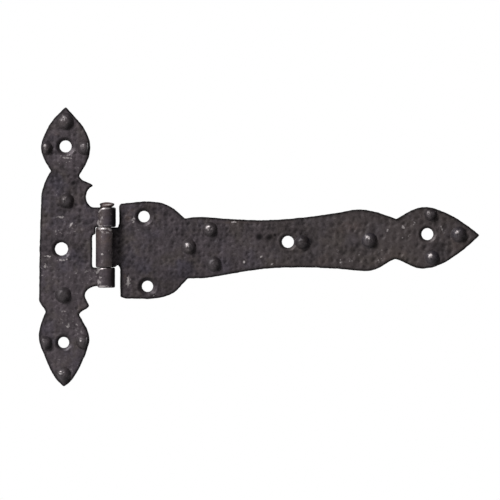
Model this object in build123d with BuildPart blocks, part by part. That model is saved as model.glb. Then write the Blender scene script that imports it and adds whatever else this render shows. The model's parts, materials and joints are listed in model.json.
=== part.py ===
from build123d import *
import os

os.makedirs("parts", exist_ok=True)

# Driving dimensions in mm. X runs along the strap, Y into the wall and Z up the pin.
# The origin is the jamb plate's middle screw hole, on the plane of the wall.
plate = 2.3  # thickness of both leaves
edge_break = 0.4  # bevel along the leaves' front edges
rim_round = 0.5  # rounding of the knuckles' rims
pin_radius = 2.7
pin_x = 22.2  # from the middle screw hole to the pin
press = 0.01  # pin and rivets are this much larger than the holes they are driven into
running_gap = 0.06  # strap knuckle round the pin
sink_angle = 120  # wide, shallow countersinks

knuckle_radius = pin_radius + plate
pin_y = -knuckle_radius

# Each knuckle's lower and upper end, and how far the plate turns round the pin in degrees
top_knuckle = (10.9, 20.75)
strap_knuckle = (-9.2, 10.8)
bottom_knuckle = (-19.35, -9.3)
jamb_wrap = 236
strap_wrap = 222

# Jamb plate's outline: one list of X, Z for each smooth stretch between two corners
notch_x = 15.35
notch_corner = 0.7
notch_shoulder = (16.95, 7.5)  # the notch narrows above this height, as far as this X
tab_top = top_knuckle[1]
tab_bottom = -18.6
jamb_outline = [
    [(2.2, 70.9), (-3.9, 64.8), (-7.7, 58.8), (-10.1, 49.8), (-8.2, 43.8), (-5.2, 39)],
    [(-5.2, 39), (-7.7, 34.7), (-9.5, 29.5), (-10.1, 24)],
    [(-10.1, 24), (-10.9, 0), (-11.1, -23.8)],
    [(-11.1, -23.8), (-10.7, -27), (-8.8, -29.7), (-7.9, -31.5)],
    [(-7.9, -31.5), (-10.1, -37.2), (-11.3, -44.7), (-9, -52.3), (-3.2, -64.2), (1.1, -68.9)],
    [(1.1, -68.9), (4.8, -65.7), (8.7, -59.8), (12.6, -50.8), (13.9, -44.7), (12.7, -40.2), (8.7, -32.8)],
    [(8.7, -32.8), (9.9, -31.3), (12.6, -29.8), (13.9, -28.5)],
    [(13.9, -28.5), (12.3, -25.3), (11.6, -23), (12.5, -20.9), (14.5, -19.4), (17, tab_bottom)],
    [(17, tab_bottom), (pin_x, tab_bottom), (pin_x, tab_top), (16.8, tab_top)],
    [(16.8, tab_top), (14.4, 21.3), (12.5, 24.2), (12.2, 26.5), (12.8, 28.8), (15.8, 31.6)],
    [(15.8, 31.6), (13.3, 33.2), (9.9, 34.8), (8.7, 36.6)],
    [(8.7, 36.6), (12, 42.2), (14.4, 50.5), (12.9, 57.3), (9, 63.3), (2.2, 70.9)],
]
straight_stretches = [8]

# Strap: its upper and lower outlines as length and distance from an axis that leans
strap_lean = 2.53  # degrees that the strap points up
strap_x = 21.9  # where lengths along the strap start
strap_z = -1.4  # where the strap's axis crosses the pin
shoulder_corners = [(6.6, -22.9), (7.85, 22.5)]
strap_upper_outline = [
    [(9, 23.65), (18, 24.2), (28, 23.4), (34, 20.8), (38, 17.2), (40.6, 14.8)],
    [(40.6, 14.8), (47, 15.2), (60, 13.9), (75, 12.5), (87, 12.2), (105, 13.1), (118, 14.5), (129, 15.4),
     (137.5, 13.3), (146, 9.85)],
    [(146, 9.85), (151.5, 12.8), (160, 15.25), (170, 12.35), (178, 7.5), (187.3, 0)],
]
strap_lower_outline = [
    [(9, 23.8), (18, 24.35), (28, 23.85), (34, 21.4), (38, 17.6), (40.6, 15.1)],
    [(40.6, 15.1), (47, 15.3), (60, 14.1), (75, 12.3), (87, 11.85), (105, 12.6), (118, 13.9), (128.5, 15.3),
     (134, 14.9), (138.5, 12.9), (144.5, 9.9)],
    [(144.5, 9.9), (149.5, 12.2), (154, 14.5), (160, 15.35), (170, 12.35), (178, 7.5), (187.3, 0)],
]
tongue_end = 31
slot_x = (29.75, 28.95)  # right side of the slots below and above the tongue
slot_corners = (1.7, 0.85)
slot_depth = 3

# Screw holes on the jamb: X, Z, radius and the countersink's radius
jamb_screws = [(2.05, 51.25, 3.0, 4.9), (0, 0, 3.3, 4.9), (1.1, -46.75, 2.75, 4.3)]
# Screw holes on the strap: length along it, height over its axis and the radii
strap_screws = [
    (20.1, 16.7, 2.85, 4.65),
    (20.3, -18.2, 2.8, 5.0),
    (91.4, 0.9, 3.0, 4.5),
    (161.2, 1.7, 3.0, 4.5),
]

# Rivets: a domed head on the front, a shank through the leaf and a tail closed flush behind
rivet_height = 2.1
shank_radius = 1.6
tail_radius = 2.3
tail_depth = 0.6
jamb_rivets = {
    "rivet_jamb_tip_top": (1.9, 63.75, 3.0),
    "rivet_jamb_upper_left": (-7.6, 50.5, 2.5),
    "rivet_jamb_upper_right": (11.5, 50.5, 2.6),
    "rivet_jamb_upper_waist": (2.5, 24.0, 2.9),
    "rivet_jamb_lower_waist": (0.9, -23.0, 3.1),
    "rivet_jamb_lower_left": (-8.2, -47.0, 2.7),
    "rivet_jamb_lower_right": (10.9, -46.5, 2.8),
    "rivet_jamb_tip_bottom": (0.75, -63.0, 3.0),
}
strap_rivets = {
    "rivet_strap_root_middle": (41.8, 0.55, 3.0),
    "rivet_strap_root_upper": (52.7, 8.8, 2.9),
    "rivet_strap_root_lower": (53.9, -8.5, 2.9),
    "rivet_strap_middle": (98.6, 0.3, 2.5),
    "rivet_strap_fore": (132.1, -0.2, 3.0),
    "rivet_strap_head_upper": (163.2, 11.4, 2.75),
    "rivet_strap_head_lower": (163.0, -10.2, 2.75),
    "rivet_strap_tip": (176.9, 0.8, 3.1),
}

# Pin: its head was hammered over to one side
pin_bottom = -19.0
pin_head_radius = 3.65
pin_head_shift = 0.7
pin_head = (20.95, 22.9)
pin_head_round = 0.6

# Both leaves are drawn looking at their fronts, with the sheet growing towards the viewer
jamb_plane = Plane.XZ
strap_plane = Plane(
    origin=(strap_x, 0, strap_z),
    x_dir=Vector(1, 0, 0).rotate(Axis.Y, -strap_lean),
    z_dir=jamb_plane.z_dir,
)


def at_depth(leaf, along, across, height):
    """A plane parallel to a leaf, at a place on it and a height over its back."""
    origin = leaf.from_local_coords(Vector(along, across, height))
    return Plane(origin=origin, x_dir=leaf.x_dir, z_dir=leaf.z_dir)


def roll_knuckle(inner_radius, low, high, axis_way, wrap):
    """Turns the sheet's section round the pin, from behind it, as far as the wrap says."""
    behind_pin = Plane(origin=(pin_x, pin_y, 0), x_dir=(0, 1, 0), z_dir=(1, 0, 0))
    with BuildSketch(behind_pin) as section:
        with Locations(((inner_radius + knuckle_radius) / 2, (low + high) / 2)):
            Rectangle(knuckle_radius - inner_radius, high - low)
        fillet(vertices().group_by(Axis.X)[-1], rim_round)
    revolve(section.sketch, axis=Axis(behind_pin.origin, (0, 0, axis_way)), revolution_arc=wrap)


def make_rivet(name, leaf, along, across, head_radius):
    """Turns a section drawn with Y out of the leaf: flush tail, shank, then a dome."""
    foot = at_depth(leaf, along, across, 0).origin
    top = plate + rivet_height
    with BuildPart() as rivet:
        with BuildSketch(Plane(origin=foot, x_dir=leaf.x_dir, z_dir=-leaf.y_dir)):
            with BuildLine():
                shank = shank_radius + press
                Polyline((0, top), (0, 0), (tail_radius, 0), (shank, tail_depth), (shank, plate),
                         (head_radius, plate))
                dome_radius = (head_radius**2 + rivet_height**2) / (2 * rivet_height)
                RadiusArc((head_radius, plate), (0, top), -dome_radius)
            make_face()
        revolve(axis=Axis(foot, leaf.z_dir))
    rivet.part.label = name
    export_step(rivet.part, f"parts/{name}.step")


# Jamb plate: hammered sheet with a notch, and two knuckles rolled from its right edge
with BuildPart() as jamb_plate:
    with BuildSketch(jamb_plane):
        with BuildLine():
            for number, points in enumerate(jamb_outline):
                if number in straight_stretches:
                    Polyline(*points)
                else:
                    Spline(*points)
        make_face()
    extrude(amount=plate)
    front = jamb_plate.faces().sort_by(Axis.Y)[0]
    chamfer(front.edges().filter_by(lambda edge: edge.center().X < pin_x - 1), edge_break)
    with BuildSketch(jamb_plane):
        notch_low, notch_high = bottom_knuckle[1], top_knuckle[0]
        past_plate = pin_x + knuckle_radius
        with BuildLine():
            shoulder_x, shoulder_z = notch_shoulder
            Polyline((past_plate, notch_low), (notch_x, notch_low), (notch_x, shoulder_z - notch_corner),
                     (shoulder_x, shoulder_z), (shoulder_x, notch_high), (past_plate, notch_high), close=True)
        make_face()
        fillet(vertices().group_by(Axis.X)[0], notch_corner)
    extrude(amount=plate, mode=Mode.SUBTRACT)
    for low, high in (bottom_knuckle, top_knuckle):
        roll_knuckle(pin_radius, low, high, -1, jamb_wrap)
    for along, across, radius, sink_radius in jamb_screws:
        with Locations(at_depth(jamb_plane, along, across, plate)):
            CounterSinkHole(radius, sink_radius, counter_sink_angle=sink_angle)
    for along, across, head_radius in jamb_rivets.values():
        with Locations(at_depth(jamb_plane, along, across, plate)):
            Hole(shank_radius)
        with Locations(at_depth(jamb_plane, along, across, tail_depth)):
            Cone(tail_radius - press, shank_radius, tail_depth, align=(Align.CENTER, Align.CENTER, Align.MAX),
                 mode=Mode.SUBTRACT)
jamb_plate.part.label = "jamb_plate"
export_step(jamb_plate.part, "parts/jamb_plate.step")

# Strap: hammered blade, with a tongue that is rolled round the pin between the two knuckles
with BuildPart() as strap_leaf:
    with BuildSketch(strap_plane):
        with BuildLine():
            for points in strap_upper_outline:
                Spline(*points)
            for points in strap_lower_outline:
                Spline(*[(along, -across) for along, across in points])
            low_start_x, low_start_y = strap_lower_outline[0][0]
            Polyline((low_start_x, -low_start_y), *shoulder_corners, strap_upper_outline[0][0])
        make_face()
    extrude(amount=plate)
    front = strap_leaf.faces().sort_by(Axis.Y)[0]
    chamfer(front.edges(), edge_break)
    knuckle_low, knuckle_high = strap_knuckle
    with BuildSketch(jamb_plane):
        with BuildLine():
            Polyline((pin_x, knuckle_low), (pin_x, knuckle_high), (slot_x[1], knuckle_high),
                     (slot_x[1], knuckle_high + slot_depth), (tongue_end, knuckle_high + slot_depth),
                     (tongue_end, knuckle_low - slot_depth), (slot_x[0], knuckle_low - slot_depth),
                     (slot_x[0], knuckle_low), close=True)
        make_face()
        fillet(vertices().sort_by_distance((slot_x[0], knuckle_low))[0], slot_corners[0])
        fillet(vertices().sort_by_distance((slot_x[1], knuckle_high))[0], slot_corners[1])
    extrude(amount=plate)
    roll_knuckle(pin_radius + running_gap, knuckle_low, knuckle_high, 1, strap_wrap)
    with Locations((pin_x, pin_y, (knuckle_low + knuckle_high) / 2)):
        Cylinder(pin_radius + running_gap, knuckle_high - knuckle_low, mode=Mode.SUBTRACT)
    for along, across, radius, sink_radius in strap_screws:
        with Locations(at_depth(strap_plane, along, across, plate)):
            CounterSinkHole(radius, sink_radius, counter_sink_angle=sink_angle)
    for along, across, head_radius in strap_rivets.values():
        with Locations(at_depth(strap_plane, along, across, plate)):
            Hole(shank_radius)
        with Locations(at_depth(strap_plane, along, across, tail_depth)):
            Cone(tail_radius - press, shank_radius, tail_depth, align=(Align.CENTER, Align.CENTER, Align.MAX),
                 mode=Mode.SUBTRACT)
strap_leaf.part.label = "strap_leaf"
export_step(strap_leaf.part, "parts/strap_leaf.step")

# Pin: a plain shaft, tight in the jamb's knuckles
with BuildPart() as hinge_pin:
    with BuildSketch(Plane.XY.offset(pin_bottom)):
        with Locations((pin_x, pin_y)):
            Circle(pin_radius + press)
    extrude(amount=pin_head[0] - pin_bottom)
    with BuildSketch(Plane.XY.offset(pin_head[0])):
        with Locations((pin_x + pin_head_shift, pin_y)):
            Circle(pin_head_radius)
    extrude(amount=pin_head[1] - pin_head[0])
    fillet(hinge_pin.edges().filter_by(GeomType.CIRCLE).sort_by(Axis.Z)[-1], pin_head_round)
hinge_pin.part.label = "hinge_pin"
export_step(hinge_pin.part, "parts/hinge_pin.step")

for name, (along, across, head_radius) in jamb_rivets.items():
    make_rivet(name, jamb_plane, along, across, head_radius)
for name, (along, across, head_radius) in strap_rivets.items():
    make_rivet(name, strap_plane, along, across, head_radius)
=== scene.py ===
import json
import math
import bmesh
import bpy
import numpy as np
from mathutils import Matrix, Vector
from mathutils.geometry import delaunay_2d_cdt


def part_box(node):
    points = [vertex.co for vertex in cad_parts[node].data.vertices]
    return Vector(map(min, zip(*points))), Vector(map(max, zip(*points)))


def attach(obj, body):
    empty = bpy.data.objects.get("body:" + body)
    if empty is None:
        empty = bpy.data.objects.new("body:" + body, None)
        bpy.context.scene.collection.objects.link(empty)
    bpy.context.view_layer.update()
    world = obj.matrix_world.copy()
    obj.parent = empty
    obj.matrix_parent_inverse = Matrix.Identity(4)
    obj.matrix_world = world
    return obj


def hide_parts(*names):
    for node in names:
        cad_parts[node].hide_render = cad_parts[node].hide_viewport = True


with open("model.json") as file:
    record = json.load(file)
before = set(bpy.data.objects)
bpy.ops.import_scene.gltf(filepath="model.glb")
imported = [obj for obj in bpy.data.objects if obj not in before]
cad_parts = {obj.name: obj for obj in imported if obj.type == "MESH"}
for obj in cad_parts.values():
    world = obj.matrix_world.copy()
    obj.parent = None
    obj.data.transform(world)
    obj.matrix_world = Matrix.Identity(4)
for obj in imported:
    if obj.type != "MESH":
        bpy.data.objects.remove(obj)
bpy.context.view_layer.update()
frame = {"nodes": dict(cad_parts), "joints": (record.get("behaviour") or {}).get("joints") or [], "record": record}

mm = 0.001
scene = bpy.context.scene

# The pin's line comes from the joint, and the rest of the hinge is placed round it
swing = frame["joints"][0]
pinX, pinY = swing["pos_m"][0], swing["pos_m"][1]
screwHoles = [m for m in frame["record"]["mounts"] if m["kind"] == "bore"]

sheet = {
    "thickness": 2.3 * mm,
    "step": 0.42 * mm,  # spacing of the mesh's points
    "edgeRows": (0.05, 0.2, 0.45, 0.8),  # rows of points near the edge, as shares of its rounding
    "cornerTurn": 24,  # degrees of turn that count as a corner
    "softPasses": 2,
    "frontRound": 0.62 * mm,  # worn edge on the hammered side
    "backRound": 0.25 * mm,
    "rollRound": 0.8 * mm,  # rims of the knuckles
    "bulge": 0.06 * mm,  # of the cut edge
    "mill": 0.05 * mm, "millFine": 0.03 * mm,  # unevenness of the back
    "edgeWave": 0.10 * mm, "waveCell": 3.1 * mm, "waveFine": 1.1 * mm,  # how the hammered outline wanders
    "endGap": -0.01 * mm,  # how far the edges that pass each other stand back; below zero, they close up
    "trueFrom": -8.0 * mm, "trueTo": -5.0 * mm,  # measured past the pin, as are the next three
    "rollFrom": -3.5 * mm, "rollTo": 0.5 * mm,
    "pastPin": 0.2 * mm,
    "sinkSlope": 0.577,  # wide countersinks
    "collar": 0.15 * mm,  # raised metal round a stud
    "rubAndSheenFrom": 1.2 * mm,  # worn patches and painted highlights are only on what stands further forward
    "edgeWidth": 1.05 * mm, "edgeDirtAndShade": 0.92,  # dark band along the edges: dirt, and painted shade on their rounding
    # painted shade on the knuckles' rims where they meet each other, then how much darker the back and the cut
    # walls are
    "rollRimShade": 0.85, "backDarkening": 0.15, "wallDarkening": 0.6,
}
blow = {  # hammer marks: how their places, depths, turns and sizes vary, then those at the strap's far end
    "loose": 0.3, "depths": (0.35, 1.2), "turns": (-0.6, 0.6), "sizes": (0.30, 0.46), "stretch": 1.25,
    "farStretch": 1.5, "farPitch": 1.3, "farDepth": 1.45, "farLean": 0.95,
    "farFade": 60 * mm, "farMix": 0.25, "farCell": 8 * mm,
    "calmShare": 0.1, "calmFade": 15 * mm,
    "slow": 0.12 * mm, "slowCell": 9 * mm, "fine": 0.02 * mm, "fineCell": 0.9 * mm, "roughCell": 1.9 * mm,
}
soilAndShade = {  # grime and painted shade: how dark, and from where to where
    "farFrom": 105 * mm, "farTo": 135 * mm, "farLift": 0.38, "brownFrom": 75 * mm, "brownTo": 125 * mm,
    "bumpCell": 1.7 * mm, "fleckCell": 0.75 * mm, "deepShare": 1.6,
    "sinkDirtAndShade": 0.42, "sinkShadeLean": 0.36, "dent": 0.84, "foot": 0.12, "shade": 0.6,
}


# Shapes in numbers
def valueNoise(points, cell, seed):
    # random numbers on a square lattice, blended between its corners by a smooth step, from -1 to 1
    lattice = np.random.RandomState(seed).uniform(-1, 1, (256, 256))
    at = points / cell
    low = np.floor(at).astype(int)
    part = at - low
    part = part * part * (3 - 2 * part)
    i, j = low[:, 0] % 256, low[:, 1] % 256
    i1, j1 = (i + 1) % 256, (j + 1) % 256
    bottom = lattice[i, j] * (1 - part[:, 0]) + lattice[i1, j] * part[:, 0]
    top = lattice[i, j1] * (1 - part[:, 0]) + lattice[i1, j1] * part[:, 0]
    return bottom * (1 - part[:, 1]) + top * part[:, 1]


def hammerBlows(points, pitch, depth, seed, lean, stretch):
    # one blow in each cell of a loosened lattice leaves a pit: depth times exp of minus distance squared over
    # size squared; the face takes the deepest pit at each point, so that neighbours meet in a soft ridge
    random = np.random.RandomState(seed)
    jitter = random.uniform(0.5 - blow["loose"], 0.5 + blow["loose"], (256, 256, 2))
    blowDepth = depth * random.uniform(*blow["depths"], (256, 256))
    blowTurn = lean + random.uniform(*blow["turns"], (256, 256))
    blowLong = random.uniform(1.0, stretch, (256, 256))
    blowSize = pitch * random.uniform(*blow["sizes"], (256, 256))
    cell = np.floor(points / pitch).astype(int)
    face = np.zeros(len(points))
    for di in range(-1, 2):
        for dj in range(-1, 2):
            near = cell + (di, dj)
            i, j = near[:, 0] % 256, near[:, 1] % 256
            away = points - (near + jitter[i, j]) * pitch
            c, s = np.cos(blowTurn[i, j]), np.sin(blowTurn[i, j])
            along = (away[:, 0] * c + away[:, 1] * s) / blowLong[i, j]
            across = away[:, 1] * c - away[:, 0] * s
            face = np.minimum(face, -blowDepth[i, j] * np.exp(-(along**2 + across**2) / blowSize[i, j] ** 2))
    return face


def sliceOutline(node, height):
    # the node's largest closed loop in the plane at one depth, as X and Z, counter-clockwise from the front
    cut = bmesh.new()
    cut.from_mesh(frame["nodes"][node].data)
    bmesh.ops.remove_doubles(cut, verts=cut.verts, dist=0.0005 * mm)
    everything = cut.verts[:] + cut.edges[:] + cut.faces[:]
    bmesh.ops.bisect_plane(cut, geom=everything, dist=1e-7, plane_co=(0, height, 0), plane_no=(0, 1, 0),
                           clear_outer=True, clear_inner=True)
    left, best, bestArea = set(cut.verts), None, 0
    while left:
        loop = [left.pop()]
        while True:
            ahead = [e.other_vert(loop[-1]) for e in loop[-1].link_edges]
            ahead = [v for v in ahead if v in left]
            if not ahead:
                break
            left.discard(ahead[0])
            loop.append(ahead[0])
        points = np.array([(v.co.x, v.co.z) for v in loop])
        x, z = points.T
        area = 0.5 * np.sum(x * np.roll(z, -1) - np.roll(x, -1) * z)
        if abs(area) > abs(bestArea):
            best, bestArea = points, area
    cut.free()
    return best if bestArea > 0 else best[::-1]


def evenSteps(loop, step, cornerTurn):
    # walks the closed loop in equal steps between its corners, which it keeps
    ahead = np.roll(loop, -1, 0) - loop
    length = np.linalg.norm(ahead, axis=1)
    loop, ahead, length = loop[length > 1e-8], ahead[length > 1e-8], length[length > 1e-8]
    way = np.arctan2(ahead[:, 1], ahead[:, 0])
    turn = np.abs((way - np.roll(way, 1) + math.pi) % (2 * math.pi) - math.pi)
    corners = np.flatnonzero(turn > math.radians(cornerTurn))
    loop, length = np.roll(loop, -corners[0], 0), np.roll(length, -corners[0])
    along = np.concatenate(([0], np.cumsum(length)))
    closed = np.vstack((loop, loop[:1]))
    stops = np.append((corners - corners[0]) % len(loop), len(loop))
    walk = []
    for first, last in zip(stops[:-1], stops[1:]):
        count = max(1, round((along[last] - along[first]) / step))
        walk.append(np.linspace(along[first], along[last], count, endpoint=False))
    walk = np.concatenate(walk)
    return np.column_stack([np.interp(walk, along, closed[:, k]) for k in (0, 1)])


def softened(loop, passes):
    # each point moves halfway to the middle of its neighbours, as filing takes off a corner
    for _ in range(passes):
        loop = 0.5 * loop + 0.25 * (np.roll(loop, 1, 0) + np.roll(loop, -1, 0))
    return loop


def loopDistance(points, loop, reach=3 * mm):
    # distance from each point to the closed loop, up to a reach, and whether a line straight up from it
    # crosses the loop an odd number of times; points are taken in order of X, against the stretches near them
    start, end = loop, np.roll(loop, -1, 0)
    leftmost, rightmost = np.minimum(start[:, 0], end[:, 0]), np.maximum(start[:, 0], end[:, 0])
    order = np.argsort(points[:, 0])
    distance, inside = np.full(len(points), reach), np.zeros(len(points), bool)
    for k in range(0, len(points), 800):
        pick = order[k:k + 800]
        p = points[pick][:, None, :]
        near = (rightmost >= p[0, 0, 0] - reach) & (leftmost <= p[-1, 0, 0] + reach)
        a, b = start[near], end[near]
        if not len(a):
            continue
        run = b - a
        share = np.clip(((p - a) * run).sum(2) / np.maximum((run**2).sum(1), 1e-18), 0, 1)
        gap = p - a - share[..., None] * run
        distance[pick] = np.minimum(np.sqrt((gap**2).sum(2).min(1)), reach)
        over = (a[:, 0] > p[..., 0]) != (b[:, 0] > p[..., 0])
        width = np.where(np.abs(run[:, 0]) < 1e-12, 1e-12, run[:, 0])
        crossing = a[:, 1] + (p[..., 0] - a[:, 0]) * run[:, 1] / width
        inside[pick] = (over & (p[..., 1] < crossing)).sum(1) % 2 == 1
    return distance, inside


def roundedOff(distance, radius):
    # how far a quarter circle of that radius has dropped at a distance in from the edge
    inward = np.clip(1 - distance / np.maximum(radius, 1e-9), 0, 1)
    return radius * (1 - np.sqrt(np.maximum(1 - inward**2, 0)))


def smoothStep(value, low, high):
    share = np.clip((value - low) / (high - low), 0, 1)
    return share * share * (3 - 2 * share)


def meshObject(name, verts, faces, attributes, material, sharp=38):
    mesh = bpy.data.meshes.new(name)
    mesh.from_pydata(verts.tolist(), [], faces)
    for key, values in attributes.items():
        mesh.attributes.new(key, "FLOAT", "POINT").data.foreach_set("value", values.astype(np.float32))
    mesh.materials.append(material)
    mesh.validate()
    mesh.shade_smooth()
    mesh.set_sharp_from_angle(angle=math.radians(sharp))
    piece = bpy.data.objects.new(name, mesh)
    scene.collection.objects.link(piece)
    return piece


def hammeredFace(points, leaf):
    # small blows all over, and towards the far end larger ones struck on the slant, over a slow unevenness
    seed, pitch, depth = leaf["seed"], leaf["blowPitch"], leaf["blowDepth"]
    face = hammerBlows(points, pitch, depth, seed + 11, leaf["blowLean"], blow["stretch"])
    if leaf["slantFrom"]:
        large = hammerBlows(points, blow["farPitch"] * pitch, blow["farDepth"] * depth, seed + 12,
                            blow["farLean"], blow["farStretch"])
        share = smoothStep(points[:, 0], leaf["slantFrom"], leaf["slantFrom"] + blow["farFade"])
        share = np.clip(share + blow["farMix"] * valueNoise(points, blow["farCell"], seed + 13), 0, 1)
        face = face * (1 - share) + large * share
    if leaf["calmTo"]:
        calm = smoothStep(points[:, 0], leaf["calmTo"], leaf["calmTo"] + blow["calmFade"])
        face = face * (1 - blow["calmShare"] * (1 - calm))
    slow = blow["slow"] * valueNoise(points, blow["slowCell"], seed + 14)
    fine = blow["fine"] * valueNoise(points, blow["fineCell"], seed + 15)
    rough = valueNoise(points, blow["roughCell"], seed + 16)
    rough += 0.5 * valueNoise(points, 0.5 * blow["roughCell"], seed + 17)
    return face + slow + fine + leaf["unevenness"] * rough


def spotDistance(points, x, z, long, wide, turnBy=0):
    # distance from a spot's middle, with the spot's half length and half width as its units
    away = points - np.array((x, z)) * mm
    c, s = math.cos(turnBy), math.sin(turnBy)
    along = (away[:, 0] * c + away[:, 1] * s) / (long * mm)
    across = (away[:, 1] * c - away[:, 0] * s) / (wide * mm)
    return np.hypot(along, across)


def nearPin(points, side):
    # 1 where an edge passes the other leaf's edge in the swing, so that it stays true, and 0 away from there
    return smoothStep(side * (points[:, 0] - pinX), sheet["trueFrom"], sheet["trueTo"])


def bentCorners(loop, leaf, rollEnd):
    # a roll's free end runs a little aslant, and a point outside the round of one of its corners goes onto it
    side = leaf["side"]
    atEnd = np.abs(loop[:, 0] - rollEnd) < 0.01 * mm
    for low, high, slant, lowRound, highRound in leaf["freeEnds"]:
        here = atEnd & (loop[:, 1] > low - mm) & (loop[:, 1] < high + mm)
        loop[here, 0] += side * slant * ((loop[here, 1] - low) / (high - low) - 0.5)
        for corner, bend, way in ((low, lowRound, -1), (high, highRound, 1)):
            away = loop - (rollEnd - side * bend, corner - way * bend)
            beyond = (side * away[:, 0] > 0) & (way * away[:, 1] > 0)
            beyond &= way * (loop[:, 1] - corner) < 0.5 * mm
            size = np.hypot(away[:, 0], away[:, 1])
            beyond &= size > bend
            loop[beyond] += away[beyond] * (bend / size[beyond] - 1)[:, None]
    return loop


def leafOutline(node, leaf, rollEnd):
    # the node's outline let out to the length of its rolls, softened, wandering a little along its normals,
    # and moved by a bell round each place in pushes; with it comes the way in from each point
    side, seed = leaf["side"], leaf["seed"]
    outline = sliceOutline(node, -sheet["thickness"] / 2)
    outline[side * (outline[:, 0] - pinX) > sheet["pastPin"], 0] = rollEnd
    loop = evenSteps(outline, sheet["step"], sheet["cornerTurn"])
    loop = softened(bentCorners(loop, leaf, rollEnd), sheet["softPasses"])
    wave = valueNoise(loop, sheet["waveCell"], seed) + 0.5 * valueNoise(loop, sheet["waveFine"], seed + 1)
    tangent = np.roll(loop, -1, 0) - np.roll(loop, 1, 0)
    tangent /= np.linalg.norm(tangent, axis=1)[:, None]
    inward = np.column_stack((-tangent[:, 1], tangent[:, 0]))
    true = nearPin(loop, side)
    loop = loop + inward * (sheet["edgeWave"] * wave * (1 - true) + sheet["endGap"] * true)[:, None]
    for x, z, reach, shiftX, shiftZ in leaf["pushes"]:
        bell = np.exp(-(spotDistance(loop, x, z, reach, reach) ** 2))
        loop = loop + np.outer(bell, (shiftX * mm, shiftZ * mm))
    return loop, inward


def flatMesh(loop, inward, holes):
    # triangles over the leaf laid flat: rows of points close along its edge for the rounding, a circle round
    # each hole, and a lattice of equal triangles in between
    step, rings, edges, first = sheet["step"], [loop], [], 0
    for _, centre, size in holes:
        count = round(2 * math.pi * size / (0.85 * step))
        angle = -2 * math.pi * np.arange(count) / count  # clockwise, with the metal on the left
        rings.append(centre + size * np.column_stack((np.cos(angle), np.sin(angle))))
    for ring in rings:
        at = first + np.arange(len(ring))
        edges.append(np.column_stack((at, np.roll(at, -1))))
        first += len(ring)
    border, edges = np.vstack(rings), np.vstack(edges)

    offsets = np.array(sheet["edgeRows"]) * sheet["frontRound"]
    rows = np.vstack([loop + inward * offset for offset in offsets])
    distance, inside = loopDistance(rows, loop)
    rows = rows[inside & (distance > 0.96 * np.repeat(offsets, len(loop)))]
    low, high = loop.min(0), loop.max(0)
    columns = np.arange(low[0], high[0], step)
    gridX, gridZ = np.meshgrid(columns, np.arange(low[1], high[1], step * math.sqrt(3) / 2))
    gridX[1::2] += 0.5 * step
    grid = np.column_stack((gridX.ravel(), gridZ.ravel()))
    distance, inside = loopDistance(grid, loop)
    grid = grid[inside & (distance > offsets[-1] + 0.45 * step)]
    for _, centre, size in holes:
        grid = grid[np.linalg.norm(grid - centre, axis=1) > size + 0.45 * step]
        rows = rows[np.linalg.norm(rows - centre, axis=1) > size + 0.3 * step]
    flat = np.vstack((border, rows, grid))

    scale = 1 / mm  # the triangulation works in millimetres
    made = delaunay_2d_cdt([Vector(p) for p in (flat * scale).tolist()], edges.tolist(), [], 0, 1e-5)
    assert len(made[0]) == len(flat), (len(made[0]), len(flat))
    triangles = np.array(made[2])
    onBorder = (triangles < len(border)).all(1)
    middle = flat[triangles].mean(1)
    keep = np.ones(len(triangles), bool)
    keep[onBorder] = loopDistance(middle[onBorder], loop)[1]
    for _, centre, size in holes:
        keep &= np.linalg.norm(middle - centre, axis=1) > size * 0.98
    triangles = triangles[keep]
    a, b, c = flat[triangles].transpose(1, 0, 2)
    turn = (b[:, 0] - a[:, 0]) * (c[:, 1] - a[:, 1]) - (b[:, 1] - a[:, 1]) * (c[:, 0] - a[:, 0])
    triangles[turn < 0] = triangles[turn < 0][:, ::-1]
    return flat, triangles, edges, len(border)


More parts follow.
